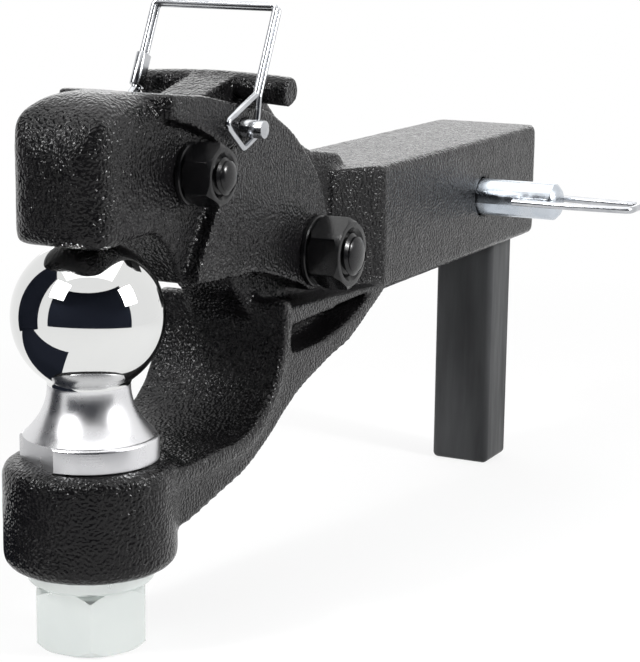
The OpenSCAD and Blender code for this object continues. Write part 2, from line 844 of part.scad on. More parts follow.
module lock_pin_bail() {
  side = bail_w / 2;
  room = lock_pin_d / 2 + bail_wire_d / 2;
  joint_z = ferrule_at + ferrule_l / 2;
  route = [
    [-strand, side, joint_z + 0.3], [-strand, side, bail_l], [-strand, -side, bail_l], [-strand, -side, 12],
    [-room - 12.7, -side, -4.5], [-3, -side, -room - 4.3], [room + 2, -side, -1.2],
    [strand, -side, 12], [strand, -side, bail_l], [strand, side, bail_l], [strand, side, ferrule_at - 1],
    [room + 2.2, side, 2], [4, side, -room - 1.7], [-4, side, -room - 1.7], [-room - 2.2, side, 2],
    [-strand, side, ferrule_at - 1], [-strand, side, joint_z - 0.3]
  ];
  color(wire_zinc)
    at_bail()
      wire(bent(route, 1.6), bail_wire_d, 8);
}

module bail_ferrule() {
  hole_d = bail_wire_d + 0.2;
  wall = 0.8;
  color(wire_zinc)
    at_bail()
      translate([0, bail_w / 2, ferrule_at])
        linear_extrude(ferrule_l)
          difference() {
            union() {
              square([2 * strand, hole_d + 2 * wall], center = true);
              for (s = [-1, 1])
                translate([s * strand, 0])
                  circle(d = hole_d + 2 * wall);
            }
            for (s = [-1, 1])
              translate([s * strand, 0])
                circle(d = hole_d);
            square([2 * strand, hole_d * 0.6], center = true);
          }
}

// Hitch pin and its clip

pin_near = -shank_half - hitch_pin_out;
clip_y = pin_near + clip_hole_in;

module hitch_pin() {
  cham = 2.2;
  bend_y = shank_half + 5;
  color(pale_zinc)
    difference() {
      union() {
        rotate([-90, 0, 0])
          rotate_extrude()
            polygon([[0, pin_near], [hitch_pin_d / 2 - cham, pin_near], [hitch_pin_d / 2, pin_near + cham],
                     [hitch_pin_d / 2, bend_y], [0, bend_y]]);
        translate([pin_bend_r, bend_y, 0])
          rotate(90)
            rotate_extrude(angle = 90)
              translate([pin_bend_r, 0])
                circle(d = hitch_pin_d);
        translate([pin_bend_r, bend_y + pin_bend_r, 0])
          rotate([0, 90, 0])
            cylinder(h = pin_handle_l - pin_bend_r, d = hitch_pin_d);
      }
      translate([0, clip_y, 0])
        rotate([0, 90, 0])
          cylinder(h = 2 * hitch_pin_d, d = clip_wire_d + 2 * clip_gap, center = true);
    }
}

// One bent wire: a leg through the pin, a loop beyond it and a leg along the pin
module hitch_pin_clip() {
  leg_x = hitch_pin_d / 2 + clip_wire_d / 2 + clip_gap;
  bend_r = clip_wire_d + 0.5;
  loop_end = clip_y - clip_loop_l;
  route = [
    [-leg_x, clip_y + 12, 0], [-leg_x, clip_y - 14, 0], [-leg_x * 0.7, loop_end, 0],
    [leg_x * 0.9, loop_end, 0], [leg_x + 2, clip_y, 0], [2 - leg_x, clip_y, 0]
  ];
  color(wire_zinc)
    wire(bent(route, bend_r), clip_wire_d, 10);
}

// Post that stands under the shank's end

module support_post() {
  top = -shank_half - post_gap;
  color(mill_grey)
    translate([post_back, 0, top - post_l])
      linear_extrude(post_l)
        round_square(post_t, post_w, post_edge_r);
}

hitch_body();
hitch_ball();
ball_lock_washer();
ball_nut();
upper_jaw();
jaw_pivot_sleeve();
jaw_pivot_bolt();
jaw_pivot_washers();
jaw_pivot_nut();
latch_lever();
latch_pivot_sleeve();
latch_pivot_bolt();
latch_pivot_washers();
latch_pivot_nut();
latch_spring();
lock_pin();
lock_pin_bail();
bail_ferrule();
hitch_pin();
hitch_pin_clip();
support_post();
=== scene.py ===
"""Looks of a combination pintle hook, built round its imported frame.

Castings are rounded copies of their solids, and the ball, fasteners, pins and
wires are modelled afresh at the same sizes. All lengths are in metres.
"""

import json
import logging
import math
from collections.abc import Iterator, Sequence
from contextlib import contextmanager
from dataclasses import dataclass
from enum import Enum
from typing import Any

import bpy
from mathutils import Matrix, Vector

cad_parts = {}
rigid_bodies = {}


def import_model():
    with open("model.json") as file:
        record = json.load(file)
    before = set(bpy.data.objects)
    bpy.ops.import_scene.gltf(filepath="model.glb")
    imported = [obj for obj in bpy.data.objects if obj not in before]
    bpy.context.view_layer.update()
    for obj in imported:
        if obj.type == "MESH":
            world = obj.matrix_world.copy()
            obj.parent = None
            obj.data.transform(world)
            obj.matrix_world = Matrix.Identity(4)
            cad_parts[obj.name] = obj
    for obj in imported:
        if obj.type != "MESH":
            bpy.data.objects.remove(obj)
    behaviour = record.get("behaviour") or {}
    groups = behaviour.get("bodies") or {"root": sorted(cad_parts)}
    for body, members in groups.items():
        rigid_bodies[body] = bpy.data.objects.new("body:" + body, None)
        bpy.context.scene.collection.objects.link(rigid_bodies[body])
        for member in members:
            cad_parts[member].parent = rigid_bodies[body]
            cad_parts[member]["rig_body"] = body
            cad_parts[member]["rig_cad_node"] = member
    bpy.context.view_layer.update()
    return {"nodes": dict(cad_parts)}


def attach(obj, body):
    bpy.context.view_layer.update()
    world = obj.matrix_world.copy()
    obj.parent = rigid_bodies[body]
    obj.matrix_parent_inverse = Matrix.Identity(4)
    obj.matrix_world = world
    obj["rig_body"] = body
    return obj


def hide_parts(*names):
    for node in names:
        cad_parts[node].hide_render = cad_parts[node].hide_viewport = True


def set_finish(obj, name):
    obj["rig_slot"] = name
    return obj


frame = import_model()

LOG = logging.getLogger("pintle_hook")
MM = 0.001
QUARTER = math.pi / 2

# Points closer than this are one point
SEAM = 0.005 * MM
# An edge runs along an axis when the cosine of their angle is above this
ALONG = 0.9

# Angles in degrees, past which an edge stays sharp
HEX_EDGE = 25.0
TURNED_EDGE = 30.0
RING_EDGE = 35.0
PIN_EDGE = 40.0
WIRE_EDGE = 50.0

# Shares of a nut's width across its flats
CORNER_EASE = 0.018
CHAMFER = 0.085
COUNTERSINK = 0.09

# Shares of a thread's pitch
THREAD_DEPTH = 0.55
THREAD_FLANK = 0.44
THREAD_CREST = 0.12
THREAD_STEPS = 48

# A bolt's rounded end: shares of its radius and of the dome's height
BOLT_DOME = ((0.0, 0.0), (0.35, 0.1), (0.65, 0.3), (0.88, 0.6), (1.0, 1.0))

# A finish's patches of colour and smudges of roughness: the pattern's values where
# they start and are full, its finer layers, and the smudges along a patch
PATCH_BAND, PATCH_DETAIL = (0.35, 0.68), 5.0
SMUDGE_BAND, SMUDGE_DETAIL, SMUDGE_SHARE = (0.3, 0.7), 4.0, 3.1

# A casting's broad and fine bumps, and the strength of one smoothing pass
BROAD, FINE = 9 * MM, 3 * MM
SMOOTHING = 0.5

WIRE_ROUNDNESS = 5
BEND_STEPS = 8

Piece = bpy.types.Object
Socket = bpy.types.NodeSocket
Tree = bpy.types.NodeTree
Colour = tuple[float, float, float]
Place = tuple[float, float, float]
Pair = tuple[float, float]
Profile = Sequence[Pair]

EVEN = (1.0, 1.0, 1.0)


class Axis(Enum):
    """The direction that a turned piece's axis takes."""

    ACROSS = (0.0, 1.0, 0.0)
    UP = (0.0, 0.0, 1.0)


class Cut(Enum):
    """What a tool body does to the piece that it cuts."""

    TAKE_AWAY = "DIFFERENCE"
    KEEP_INSIDE = "INTERSECT"


# Modelling bench


def shares(count: int) -> list[float]:
    """Gives the shares from 0 to 1 in a number of equal steps."""
    return [i / count for i in range(count + 1)]


def clear_bench() -> None:
    """Leaves edit mode and deselects everything."""
    if bpy.context.object is not None and bpy.context.object.mode != "OBJECT":
        bpy.ops.object.mode_set(mode="OBJECT")
    bpy.ops.object.select_all(action="DESELECT")


def pick(piece: Piece) -> None:
    """Selects one piece alone and makes it the active one.

    Args:
        piece: The piece to work on.
    """
    clear_bench()
    piece.select_set(True)
    bpy.context.view_layer.objects.active = piece


@contextmanager
def editing() -> Iterator[None]:
    """Keeps the active piece in edit mode for a while.

    Yields:
        Nothing, once the piece is in edit mode.
    """
    bpy.ops.object.mode_set(mode="EDIT")
    yield
    bpy.ops.object.mode_set(mode="OBJECT")


def apply_all(piece: Piece) -> None:
    """Applies every modifier of a piece, in order.

    Args:
        piece: The piece that carries the modifiers.
    """
    pick(piece)
    for name in [modifier.name for modifier in piece.modifiers]:
        bpy.ops.object.modifier_apply(modifier=name)


def settle(piece: Piece) -> None:
    """Puts a piece's place, turn and size into its mesh."""
    pick(piece)
    bpy.ops.object.transform_apply(location=True, rotation=True, scale=True)


def added(name: str, size: Place = EVEN) -> Piece:
    """Names, sizes and settles the piece that was just added.

    Args:
        name: The piece's name.
        size: How much it is stretched along its own axes.

    Returns:
        The piece.
    """
    piece = bpy.context.object
    piece.name = name
    piece.scale = size
    settle(piece)
    return piece


def close_seams(piece: Piece) -> None:
    """Merges doubled points and turns all faces outwards.

    Args:
        piece: The piece to close.
    """
    pick(piece)
    with editing():
        bpy.ops.mesh.select_all(action="SELECT")
        bpy.ops.mesh.remove_doubles(threshold=SEAM)
        bpy.ops.mesh.normals_make_consistent(inside=False)


def soften(piece: Piece, degrees: float = TURNED_EDGE) -> None:
    """Shades a piece smooth, apart from edges sharper than an angle."""
    pick(piece)
    bpy.ops.object.shade_smooth_by_angle(angle=math.radians(degrees))


def join(name: str, pieces: Sequence[Piece]) -> Piece:
    """Joins several meshes into one piece.

    Args:
        name: The name of the joined piece.
        pieces: The meshes to join.

    Returns:
        The joined piece.
    """
    clear_bench()
    for piece in pieces:
        piece.select_set(True)
    bpy.context.view_layer.objects.active = pieces[0]
    bpy.ops.object.join()
    pieces[0].name = name
    return pieces[0]


def carve(piece: Piece, tool: Piece, cut: Cut = Cut.TAKE_AWAY) -> None:
    """Cuts a piece with a tool body, which is then thrown away.

    Args:
        piece: The piece to cut.
        tool: The closed mesh to cut it with.
        cut: What the tool does to the piece.
    """
    modifier = piece.modifiers.new("carve", "BOOLEAN")
    modifier.operation = cut.value
    modifier.solver = "EXACT"
    modifier.object = tool
    apply_all(piece)
    bpy.data.objects.remove(tool)


def traced(name: str, points: Sequence[Vector]) -> Piece:
    """Draws a line of edges from point to point.

    Args:
        name: The name of the new piece.
        points: The points, in order.

    Returns:
        The new piece.
    """
    clear_bench()
    bpy.ops.mesh.primitive_plane_add(size=MM, location=points[0])
    piece = added(name)
    with editing():
        bpy.ops.mesh.merge(type="CENTER")
        for before, after in zip(points, points[1:]):
            bpy.ops.mesh.extrude_region_move(TRANSFORM_OT_translate={"value": after - before})
    return piece


def turned(
    name: str, profile: Profile, centre: Sequence[float], axis: Axis, steps: int = 96,
    sweep: float = 2 * math.pi,
) -> Piece:
    """Turns a profile about an axis, as on a lathe.

    Args:
        name: The name of the new piece.
        profile: Points as (distance from the axis, place along it).
        centre: A point on the axis that the places are counted from.
        axis: The direction of the axis.
        steps: How many steps the turn has.
        sweep: The angle of the turn.

    Returns:
        The new piece.
    """
    middle, along = Vector(centre), Vector(axis.value)
    piece = traced(name, [middle + Vector((r, 0, 0)) + along * h for r, h in profile])
    with editing():
        bpy.ops.mesh.select_all(action="SELECT")
        bpy.ops.mesh.spin(steps=steps, angle=sweep, center=middle, axis=along)
    close_seams(piece)
    return piece


def ease_edges(piece: Piece, axis: Axis, width: float, segments: int) -> None:
    """Rounds the edges that run along an axis.

    Args:
        piece: The piece, which is the active one.
        axis: The direction of the edges.
        width: How far the rounding reaches.
        segments: How many faces each rounding has.
    """
    with editing():
        bpy.ops.mesh.select_all(action="DESELECT")
    for edge in piece.data.edges:
        a, b = (piece.data.vertices[i].co for i in edge.vertices)
        edge.select = abs((b - a).normalized().dot(Vector(axis.value))) > ALONG
    with editing():
        bpy.ops.mesh.bevel(offset=width, segments=segments, affect="EDGES")


def hexagon(
    name: str, across_flats: float, low: float, high: float, centre: Sequence[float],
    axis: Axis, turn: float = 0.0,
) -> Piece:
    """Makes a hexagonal bar with eased corners and turned-down ends.

    Args:
        name: The name of the new piece.
        across_flats: The width across the flats.
        low: Where the bar starts along its axis.
        high: Where the bar ends along its axis.
        centre: A point on the axis.
        axis: The direction of the axis.
        turn: The turn about the axis, in radians.

    Returns:
        The new piece.
    """
    flat_r = across_flats / 2
    corner_r = flat_r / math.cos(math.pi / 6)
    clear_bench()
    bpy.ops.mesh.primitive_cylinder_add(
        vertices=6, radius=corner_r, depth=high - low,
        location=Vector(centre) + Vector(axis.value) * (low + high) / 2,
        rotation=(QUARTER, 0, 0) if axis is Axis.ACROSS else (0, 0, turn),
    )
    piece = added(name)
    ease_edges(piece, axis, CORNER_EASE * across_flats, segments=3)
    # The shell stands just clear of the bar's corners
    chamfer, outside = CHAMFER * across_flats, corner_r * 1.01
    inset, rise = 0.2 * MM, 0.06 * MM
    shell = turned(
        name + "_shell",
        [
            (0, low), (flat_r - inset, low), (flat_r, low + rise), (outside, low + chamfer),
            (outside, high - chamfer), (flat_r, high - rise), (flat_r - inset, high), (0, high),
        ],
        centre, axis,
    )
    carve(piece, shell, Cut.KEEP_INSIDE)
    return piece


def bent_route(corners: Sequence[Place], radius: float) -> list[Vector]:
    """Rounds the corners of a route of straight stretches.

    Args:
        corners: The route's corner points.
        radius: The radius of each bend.

    Returns:
        The points of the bent route.
    """
    points = [Vector(c) for c in corners]
    route = [points[0]]
    for before, corner, after in zip(points, points[1:], points[2:]):
        u, w = (before - corner).normalized(), (after - corner).normalized()
        opening = u.angle(w)
        middle = corner + (u + w).normalized() * radius / math.sin(opening / 2)
        start = corner + u * radius / math.tan(opening / 2) - middle
        end = corner + w * radius / math.tan(opening / 2) - middle
        side = (end - start * end.dot(start) / start.length_squared).normalized()
        for share in shares(BEND_STEPS):
            angle = (math.pi - opening) * share
            route.append(middle + start * math.cos(angle) + side * radius * math.sin(angle))
    route.append(points[-1])
    return route


def drawn_wire(name: str, route: Sequence[Vector], radius: float) -> Piece:
    """Draws a round wire along a route.

    Args:
        name: The name of the new piece.
        route: The points of the wire's middle line.
        radius: The wire's radius.

    Returns:
        The new piece, as a closed mesh.
    """
    line = bpy.data.curves.new(name, "CURVE")
    line.dimensions = "3D"
    line.bevel_depth = radius
    line.bevel_resolution = WIRE_ROUNDNESS
    line.use_fill_caps = True
    spline = line.splines.new("POLY")
    spline.points.add(len(route) - 1)
    for spot, point in zip(spline.points, route):
        spot.co = (*point, 1.0)
    piece = bpy.data.objects.new(name, line)
    bpy.context.scene.collection.objects.link(piece)
    pick(piece)
    bpy.ops.object.convert(target="MESH")
    piece = bpy.context.object
    close_seams(piece)
    soften(piece, WIRE_EDGE)
    return piece


def screw_thread(
    name: str, radius: float, pitch: float, low: float, turns: int, centre: Sequence[float],
) -> Piece:
    """Winds a thread's ridge round a bolt that lies across the part.

    Args:
        name: The name of the new piece.
        radius: The radius over the ridge.
        pitch: The rise of one turn.
        low: Where the thread starts along the axis.
        turns: How many turns it has.
        centre: A point on the axis.

    Returns:
        The new piece.
    """
    foot = radius - THREAD_DEPTH * pitch
    flank, crest = THREAD_FLANK * pitch, THREAD_CREST * pitch
    ridge = [
        Vector((foot, 0, 0)), Vector((radius, 0, flank)), Vector((radius, 0, flank + crest)),
        Vector((foot, 0, 2 * flank + crest)),
    ]
    piece = traced(name, ridge)
    winding = piece.modifiers.new("winding", "SCREW")
    winding.axis = "Z"
    winding.screw_offset = pitch
    winding.angle = 2 * math.pi
    winding.iterations = turns
    winding.steps = THREAD_STEPS
    winding.render_steps = THREAD_STEPS
    winding.use_merge_vertices = True
    winding.merge_threshold = SEAM
    apply_all(piece)
    piece.location = Vector(centre) + Vector(Axis.ACROSS.value) * low
    piece.rotation_euler = (-QUARTER, 0, 0)
    settle(piece)
    close_seams(piece)
    soften(piece, PIN_EDGE)
    return piece


# Finishes


def add_node(
    tree: Tree, kind: str, values: dict[str, Any] | None = None, operation: str = "",
) -> bpy.types.Node:
    """Adds a node to a tree and sets its inputs.

    Args:
        tree: The node tree.
        kind: The node's type.
        values: The values of its inputs, by name.
        operation: What the node does, where it can do several things.

    Returns:
        The new node.
    """
    node = tree.nodes.new(kind)
    if operation:
        node.operation = operation
    set_inputs(node, values or {})
    return node


def set_inputs(node: bpy.types.Node, values: dict[str, Any]) -> None:
    """Sets the values of a node's inputs, by name."""
    for name, value in values.items():
        node.inputs[name].default_value = value


@dataclass(frozen=True)
class Grain:
    """One layer of a cloudy pattern.

    The scale is in grains along a metre, the stretch says how much they are packed
    along X, Y and Z, and the detail is how many finer layers they hold.
    """

    scale: float
    depth: float
    stretch: Place = EVEN
    detail: float = 2.0


@dataclass(frozen=True)
class Finish:
    """A surface finish, made as a material of nodes on first use.

    The slot is the record's, patch_scale is in patches along a metre, roughness holds
    the lowest and the highest, and the coarse grains come first.
    """

    name: str
    slot: str
    colour: Colour
    patch_colour: Colour
    patch_scale: float
    roughness: Pair
    metallic: float
    grains: tuple[Grain, ...]
    patch_stretch: Place = EVEN
    specular: float = 0.5

    def material(self) -> bpy.types.Material:
        """Gives the finish's material, and makes it the first time."""
        known = bpy.data.materials.get(self.name)
        return known if known is not None else self._make()

    def _make(self) -> bpy.types.Material:
        """Builds the node tree.

        Returns:
            The new material.
        """
        made = bpy.data.materials.new(self.name)
        made.use_nodes = True
        tree = made.node_tree
        shader = tree.nodes["Principled BSDF"]
        set_inputs(shader, {"Metallic": self.metallic, "Specular IOR Level": self.specular})
        place = add_node(tree, "ShaderNodeTexCoord").outputs["Object"]
        tint = add_node(tree, "ShaderNodeValToRGB")
        for stop, position, colour in zip(
            tint.color_ramp.elements, PATCH_BAND, (self.colour, self.patch_colour)
        ):
            stop.position = position
            stop.color = (*colour, 1.0)
        patches = Grain(self.patch_scale, 0.0, self.patch_stretch, PATCH_DETAIL)
        tree.links.new(self._cloud(tree, place, patches), tint.inputs["Fac"])
        tree.links.new(tint.outputs["Color"], shader.inputs["Base Color"])
        dull = add_node(
            tree, "ShaderNodeMapRange",
            {
                "From Min": SMUDGE_BAND[0], "From Max": SMUDGE_BAND[1],
                "To Min": self.roughness[0], "To Max": self.roughness[1],
            },
        )
        smudges = Grain(self.patch_scale * SMUDGE_SHARE, 0.0, self.patch_stretch, SMUDGE_DETAIL)
        tree.links.new(self._cloud(tree, place, smudges), dull.inputs["Value"])
        tree.links.new(dull.outputs["Result"], shader.inputs["Roughness"])
        under = None
        for grain in self.grains:
            bump = add_node(tree, "ShaderNodeBump", {"Distance": grain.depth})
            tree.links.new(self._cloud(tree, place, grain), bump.inputs["Height"])
            if under is not None:
                tree.links.new(under, bump.inputs["Normal"])
            under = bump.outputs["Normal"]
        tree.links.new(under, shader.inputs["Normal"])
        return made

    @staticmethod
    def _cloud(tree: Tree, place: Socket, grain: Grain) -> Socket:
        """Adds a cloudy pattern.

        Args:
            tree: The material's node tree.
            place: The Object coordinates.
            grain: The pattern's scale, stretch and detail.

        Returns:
            The pattern's value.
        """
        packed = add_node(tree, "ShaderNodeMapping", {"Scale": grain.stretch})
        noise = add_node(
            tree, "ShaderNodeTexNoise", {"Scale": grain.scale, "Detail": grain.detail},
        )
        tree.links.new(place, packed.inputs["Vector"])
        tree.links.new(packed.outputs["Vector"], noise.inputs["Vector"])
        return noise.outputs["Fac"]


CAST_BLACK = Finish(
    name="cast_black_paint", slot="cast_black", colour=(0.0038, 0.0036, 0.004),
    patch_colour=(0.0085, 0.0081, 0.0086), patch_scale=60.0, roughness=(0.07, 0.18),
    metallic=0.0,
    grains=(
        Grain(420.0, 0.16 * MM, (1.0, 1.0, 0.12), detail=1.0),
        Grain(240.0, 0.2 * MM, detail=1.0), Grain(950.0, 0.72 * MM, detail=0.6),
    ),
    specular=0.22,
)
OXIDE_BLACK = Finish(
    name="smooth_black_oxide", slot="oxide_black", colour=(0.004, 0.004, 0.0045),
    patch_colour=(0.009, 0.009, 0.0096), patch_scale=140.0, roughness=(0.14, 0.26),
    metallic=0.0, grains=(Grain(1500.0, 0.03 * MM),), specular=0.3,
)
BRIGHT_CHROME = Finish(
    name="mirror_chrome", slot="bright_chrome", colour=(0.755, 0.76, 0.75),
    patch_colour=(0.72, 0.725, 0.72), patch_scale=30.0, roughness=(0.02, 0.05), metallic=1.0,
    grains=(Grain(300.0, 0.002 * MM),),
)
TURNED_CHROME = Finish(
    name="turned_chrome", slot="bright_chrome", colour=(0.74, 0.74, 0.75),
    patch_colour=(0.67, 0.67, 0.69), patch_scale=40.0, roughness=(0.24, 0.34), metallic=1.0,
    grains=(Grain(260.0, 0.012 * MM, (0.1, 0.1, 6.0)),),
)
PALE_ZINC = Finish(
    name="satin_zinc", slot="pale_zinc", colour=(0.745, 0.78, 0.76),
    patch_colour=(0.69, 0.73, 0.715), patch_scale=25.0, roughness=(0.2, 0.28), metallic=0.65,
    grains=(Grain(700.0, 0.008 * MM),),
)
PIN_ZINC = Finish(
    name="blue_zinc", slot="pin_zinc", colour=(0.50, 0.55, 0.61),
    patch_colour=(0.64, 0.67, 0.71), patch_scale=70.0, roughness=(0.16, 0.32), metallic=1.0,
    grains=(Grain(900.0, 0.02 * MM, (1.0, 0.2, 1.0)),),
)
WIRE_ZINC = Finish(
    name="plated_wire", slot="wire_zinc", colour=(0.42, 0.43, 0.45),
    patch_colour=(0.55, 0.56, 0.58), patch_scale=160.0, roughness=(0.14, 0.28), metallic=1.0,
    grains=(Grain(1500.0, 0.012 * MM),),
)
MILL_GREY = Finish(
    name="mill_scale", slot="mill_grey", colour=(0.024, 0.0249, 0.0264),
    patch_colour=(0.056, 0.0575, 0.0598), patch_scale=90.0, roughness=(0.36, 0.56),
    metallic=0.0, grains=(Grain(260.0, 0.05 * MM, (1.0, 1.0, 0.15)), Grain(2400.0, 0.015 * MM)),
    patch_stretch=(1.0, 1.0, 0.12), specular=0.2,
)


def coat(solid: Piece, finish: Finish) -> None:
    """Gives a piece or a carried-over node its finish.

    Args:
        solid: The piece or the node's object.
        finish: The finish that it gets.
    """
    solid.data.materials.clear()
    solid.data.materials.append(finish.material())
    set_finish(solid, finish.slot)
    LOG.info("%s has the finish %s", solid.name, finish.name)


def dress(piece: Piece, finish: Finish, body: str, node: str) -> None:
    """Gives a new piece its finish, its body and the node that it stands for.

    Args:
        piece: The finished piece.
        finish: The piece's surface finish.
        body: The body that the piece rides on.
        node: The node that the piece replaces.
    """
    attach(piece, body)
    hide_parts(node)
    coat(piece, finish)
    LOG.info("%s rides on %s, %d faces", piece.name, body, len(piece.data.polygons))


# Sub-assemblies


@dataclass
class Casting:
    """A rough casting: a rounded copy of its solid with cast unevenness.

    The copy is rebuilt from cells of the size voxel, rounding is how many smoothing
    passes it gets, and wave is its bumps' height. The nose gets more passes, from the
    first place in nose_fade along the part, and in full past the second.
    """

    name: str
    node: str
    body: str
    voxel: float
    rounding: int
    wave: float = 0.25 * MM
    nose_fade: Pair = (0.0, 0.0)
    nose_rounding: int = 0

    def build(self) -> None:
        """Makes the casting and dresses it."""
        pick(frame["nodes"][self.node])
        bpy.ops.object.duplicate()
        piece = bpy.context.object
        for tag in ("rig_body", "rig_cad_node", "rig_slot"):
            if tag in piece:
                del piece[tag]
        piece.parent = None
        piece.name = self.name
        close_seams(piece)
        cells = piece.modifiers.new("cells", "REMESH")
        cells.mode = "VOXEL"
        cells.voxel_size = self.voxel
        rounding = piece.modifiers.new("rounding", "SMOOTH")
        rounding.factor = SMOOTHING
        rounding.iterations = self.rounding
        if self.nose_rounding:
            self._round_nose(piece)
        self._uneven(piece, BROAD, self.wave)
        self._uneven(piece, FINE, self.wave / 2)
        apply_all(piece)
        pick(piece)
        bpy.ops.object.shade_smooth()
        dress(piece, CAST_BLACK, self.body, self.node)

    def _round_nose(self, piece: Piece) -> None:
        """Rounds the front end more than the rest.

        Args:
            piece: The casting, with its cells and its first rounding.
        """
        apply_all(piece)
        start, full = self.nose_fade
        nose = piece.vertex_groups.new(name="nose")
        for point in piece.data.vertices:
            share = (start - point.co.x) / (start - full)
            if share > 0:
                nose.add([point.index], min(share, 1.0), "REPLACE")
        rounding = piece.modifiers.new("nose", "SMOOTH")
        rounding.vertex_group = nose.name
        rounding.factor = SMOOTHING
        rounding.iterations = self.nose_rounding

    def _uneven(self, piece: Piece, size: float, height: float) -> None:
        """Adds soft cast unevenness of one size.

        Args:
            piece: The casting.
            size: How broad the bumps are.
            height: How high they are in all.
        """
        label = f"{self.name}_{round(size / MM)}"
        cloud = bpy.data.textures.new(label, "CLOUDS")
        cloud.noise_scale = size
        uneven = piece.modifiers.new(label, "DISPLACE")
        uneven.texture = cloud
        uneven.texture_coords = "LOCAL"
        uneven.strength = height
        uneven.mid_level = 0.5


@dataclass
class BallSet:
    """The hitch ball with its lock washer and nut.

    Lengths that end in _r are radii, in _t thicknesses, in _h heights and in _z places
    along the axis. neck_lift, washer_sweep, slit_turn and the directions that end in
    _facing are in degrees.
    """

    x: float = -280 * MM
    ball_r: float = 25.4 * MM
    ball_z: float = -6 * MM
    ball_steps: int = 44
    crown_r: float = 5 * MM
    crown_edge: float = 0.4 * MM
    neck_r: float = 13.75 * MM
    neck_step: float = 1.6 * MM
    neck_lift: float = 2.0
    flare_power: float = 2.2
    flare_short: float = 1.2 * MM
    flare_steps: int = 14
    collar_r: float = 23.15 * MM
    collar_h: float = 8.5 * MM
    collar_flats: float = 39 * MM
    collar_foot: float = 0.5 * MM
    flats_facing: float = 150.0
    rim_r: float = 1.3 * MM
    rim_steps: int = 4
    seat_z: float = -54 * MM
    stem_r: float = 12.7 * MM
    stem_short: float = 2 * MM
    stem_ease: float = 1.5 * MM
    turn_steps: int = 128
    boss_bottom: float = -90 * MM
    washer_r: float = 21 * MM
    washer_t: float = 5.5 * MM
    washer_room: float = 0.3 * MM
    washer_ease: float = 0.8 * MM
    washer_sweep: float = 352.0
    washer_steps: int = 90
    slit_turn: float = -36.0
    nut_h: float = 22 * MM
    nut_af: float = 36 * MM
    nut_facing: float = 212.0
    nut_room: float = 0.05 * MM
    nut_spread: float = 1.2 * MM

    @property
    def nut_top(self) -> float:
        """The height of the nut's upper face."""
        return self.boss_bottom - self.washer_t

    @property
    def nut_bottom(self) -> float:
        """The height of the nut's lower face."""
        return self.nut_top - self.nut_h

    def build(self) -> None:
        """Makes the ball, the washer and the nut."""
        self._ball()
        self._washer()
        self._nut()

    def _ball(self) -> None:
        """Turns the ball, its neck, collar and stem in one piece."""
        top = math.acos(self.crown_r / self.ball_r)
        low = -math.acos(self.neck_r / self.ball_r) + math.radians(self.neck_lift)
        globe = [
            (self.ball_r * math.cos(a), self.ball_z + self.ball_r * math.sin(a))
            for a in (top + (low - top) * t for t in shares(self.ball_steps))
        ]
        crown_z = globe[0][1]
        crown = [(0, crown_z), (self.crown_r - self.crown_edge, crown_z)]
        neck_top = globe[-1][1] - self.neck_step
        collar_top = self.seat_z + self.collar_h
        spread = self.collar_r - self.flare_short - self.neck_r
        flare = [
            (self.neck_r + spread * t**self.flare_power, neck_top + (collar_top - neck_top) * t)
            for t in shares(self.flare_steps)
        ]
        rim = [
            (
                self.collar_r - self.rim_r + self.rim_r * math.sin(QUARTER * t),
                collar_top - self.rim_r + self.rim_r * math.cos(QUARTER * t),
            )
            for t in shares(self.rim_steps)[1:]
        ]
        end = self.nut_bottom + self.stem_short
        stem = [
            (self.collar_r, self.seat_z + self.collar_foot),
            (self.collar_r - self.collar_foot, self.seat_z), (self.stem_r, self.seat_z),
            (self.stem_r, end + self.stem_ease), (self.stem_r - self.stem_ease, end), (0, end),
        ]
        profile = [*crown, *globe, *flare, *rim, *stem]
        ball = turned("chrome_ball", profile, (self.x, 0, 0), Axis.UP, self.turn_steps)
        for facing in (self.flats_facing, self.flats_facing + 180.0):
            self._flat(ball, math.radians(facing))
        soften(ball)
        dress(ball, BRIGHT_CHROME, "body", "hitch_ball")
        ball.data.materials.append(TURNED_CHROME.material())
        for face in ball.data.polygons:
            face.material_index = int(face.center.z < neck_top)

    def _flat(self, ball: Piece, facing: float) -> None:
        """Mills one spanner flat on the collar.

        Args:
            ball: The ball's mesh.
            facing: The direction that the flat faces, in radians.
        """
        reach = self.collar_flats / 2 + self.collar_r
        clear_bench()
        bpy.ops.mesh.primitive_cube_add(
            size=2 * self.collar_r,
            location=(
                self.x + reach * math.cos(facing), reach * math.sin(facing),
                self.seat_z + self.collar_h - self.collar_r,
            ),
            rotation=(0, 0, facing),
        )
        carve(ball, added("flat_mill"))

    def _washer(self) -> None:
        """Winds the split lock washer, with its two ends a little apart."""
        ease = self.washer_ease
        low, high = -self.washer_t / 2, self.washer_t / 2
        inner, outer = self.stem_r + self.washer_room, self.washer_r
        section = [
            (inner, low + ease), (inner, high - ease), (inner + ease, high),
            (outer - ease, high), (outer, high - ease), (outer, low + ease),
            (outer - ease, low), (inner + ease, low), (inner, low + ease),
        ]
        middle = (self.x, 0, self.boss_bottom - self.washer_t / 2)
        sweep = math.radians(self.washer_sweep)
        washer = turned("lock_washer", section, middle, Axis.UP, self.washer_steps, sweep)
        with editing():
            bpy.ops.mesh.select_all(action="DESELECT")
            bpy.ops.mesh.select_non_manifold()
            bpy.ops.mesh.edge_face_add()
            bpy.ops.mesh.select_all(action="SELECT")
            bpy.ops.mesh.normals_make_consistent(inside=False)
            bpy.ops.transform.rotate(
                value=math.radians(self.slit_turn), orient_axis="Z", center_override=middle,
            )
        soften(washer, RING_EDGE)
        dress(washer, PALE_ZINC, "body", "ball_lock_washer")

